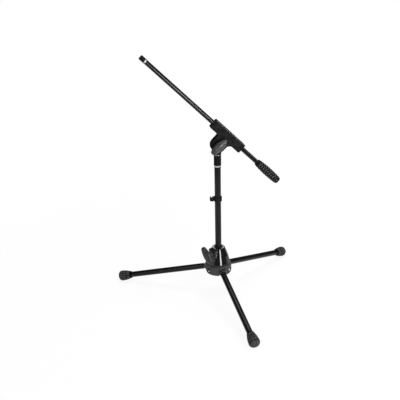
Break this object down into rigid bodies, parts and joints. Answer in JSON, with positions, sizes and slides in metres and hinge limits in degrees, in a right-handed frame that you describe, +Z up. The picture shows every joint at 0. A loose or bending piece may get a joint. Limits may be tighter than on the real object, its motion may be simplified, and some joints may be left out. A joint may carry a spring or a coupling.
{
  "type": "boom microphone stand",
  "caption": "Low black boom microphone stand with folding tripod legs, rubber feet, a twist-clutch mast, cable clip and a clamped boom with grip counterweight",
  "frame": {"origin": "middle of the footprint on the floor", "axes": "+Z up, the boom lies in the XZ plane with its microphone end towards -X, the hub's front leg points towards -Y"},
  "size_m": [0.5418, 0.4976, 0.6971],
  "materials": {
    "black_coat": "satin black powder coat",
    "grey_casting": "dark grey coated casting",
    "gloss_black": "polished black moulding",
    "matt_black": "fine grained black moulding",
    "black_nylon": "plain black nylon",
    "black_rubber": "dull black rubber",
    "bright_plating": "bright plated",
    "zinc_steel": "zinc plated steel",
    "brass": "plain turned brass"
  },
  "bodies": {
    "base": {"leg_carrier": "grey_casting", "hub_cone": "gloss_black", "hub_bush": "black_nylon", "hub_clamp_shoe": "brass", "leg_pin_1": "zinc_steel", "leg_pin_2": "zinc_steel", "leg_pin_3": "zinc_steel", "carrier_screw_1": "zinc_steel", "carrier_screw_2": "zinc_steel", "carrier_screw_3": "zinc_steel"},
    "hub_wing": {"hub_wing_knob": "matt_black", "hub_wing_screw": "zinc_steel"},
    "leg_1": {"leg_tube_1": "black_coat", "leg_eye_1": "zinc_steel", "leg_foot_1": "black_rubber"},
    "leg_2": {"leg_tube_2": "black_coat", "leg_eye_2": "zinc_steel", "leg_foot_2": "black_rubber"},
    "leg_3": {"leg_tube_3": "black_coat", "leg_eye_3": "zinc_steel", "leg_foot_3": "black_rubber"},
    "mast": {"mast_tube": "black_coat", "mast_plug": "black_nylon", "clutch_ferrule": "bright_plating", "clutch_collet": "black_nylon"},
    "clutch": {"clutch_sleeve": "matt_black"},
    "clip": {"cable_clip": "matt_black"},
    "extension": {"extension_tube": "zinc_steel", "extension_bush": "black_nylon", "extension_stud": "bright_plating"},
    "swivel": {"swivel_knuckle": "matt_black"},
    "boom_holder": {"boom_clamp_front": "matt_black", "boom_clamp_rear": "matt_black", "friction_disc_front": "black_nylon", "friction_disc_rear": "black_nylon", "pivot_bolt": "zinc_steel"},
    "boom_wing": {"boom_wing_knob": "matt_black", "boom_wing_insert": "brass"},
    "boom": {"boom_rod": "black_coat", "boom_rear_plug": "black_nylon", "boom_grip": "black_rubber", "boom_tip_stud": "bright_plating"},
    "cap": {"thread_cap": "black_nylon"}
  },
  "joints": [
    {"name": "leg_fold_1", "type": "hinge", "parent": "base", "child": "leg_1", "pos_m": [0.03838, 0.07788, 0.07974], "axis": [-0.5807, 0.8141, 0], "range_deg": [0, 76]},
    {"name": "leg_fold_2", "type": "hinge", "parent": "base", "child": "leg_2", "pos_m": [-0.01334, 0.0729, 0.07974], "axis": [-0.4147, -0.91, 0], "range_deg": [0, 76]},
    {"name": "leg_fold_3", "type": "hinge", "parent": "base", "child": "leg_3", "pos_m": [0.01683, 0.03059, 0.07974], "axis": [0.9954, 0.0958, 0], "range_deg": [0, 76]},
    {"name": "hub_wing_turn", "type": "hinge", "parent": "base", "child": "hub_wing", "pos_m": [0.01396, 0.06046, 0.13064], "axis": [-0.8141, -0.5807, 0], "range_deg": [0, 360]},
    {"name": "mast_lift", "type": "slide", "parent": "base", "child": "mast", "axis": [0, 0, 1], "range_m": [0, 0.05]},
    {"name": "clutch_twist", "type": "hinge", "parent": "mast", "child": "clutch", "pos_m": [0.01396, 0.06046, 0.405], "axis": [0, 0, 1], "range_deg": [0, 180]},
    {"name": "clip_slide", "type": "slide", "parent": "mast", "child": "clip", "axis": [0, 0, 1], "range_m": [-0.1, 0.07]},
    {"name": "mast_extend", "type": "slide", "parent": "mast", "child": "extension", "axis": [0, 0, 1], "range_m": [0, 0.22]},
    {"name": "boom_swivel", "type": "hinge", "parent": "extension", "child": "swivel", "pos_m": [0.01396, 0.06046, 0.4225], "axis": [0, 0, 1], "continuous": true},
    {"name": "boom_tilt", "type": "hinge", "parent": "swivel", "child": "boom_holder", "pos_m": [0.01396, 0.06046, 0.44984], "axis": [0, 1, 0], "range_deg": [-100, 35]},
    {"name": "boom_wing_turn", "type": "hinge", "parent": "boom_holder", "child": "boom_wing", "pos_m": [0.01396, 0.03546, 0.44984], "axis": [0, -1, 0], "range_deg": [0, 360]},
    {"name": "boom_slide", "type": "slide", "parent": "boom_holder", "child": "boom", "axis": [-0.7096, 0, 0.7046], "range_m": [-0.09, 0.05]},
    {"name": "cap_pull", "type": "slide", "parent": "boom", "child": "cap", "axis": [-0.7096, 0, 0.7046], "range_m": [0, 0.03]}
  ]
}
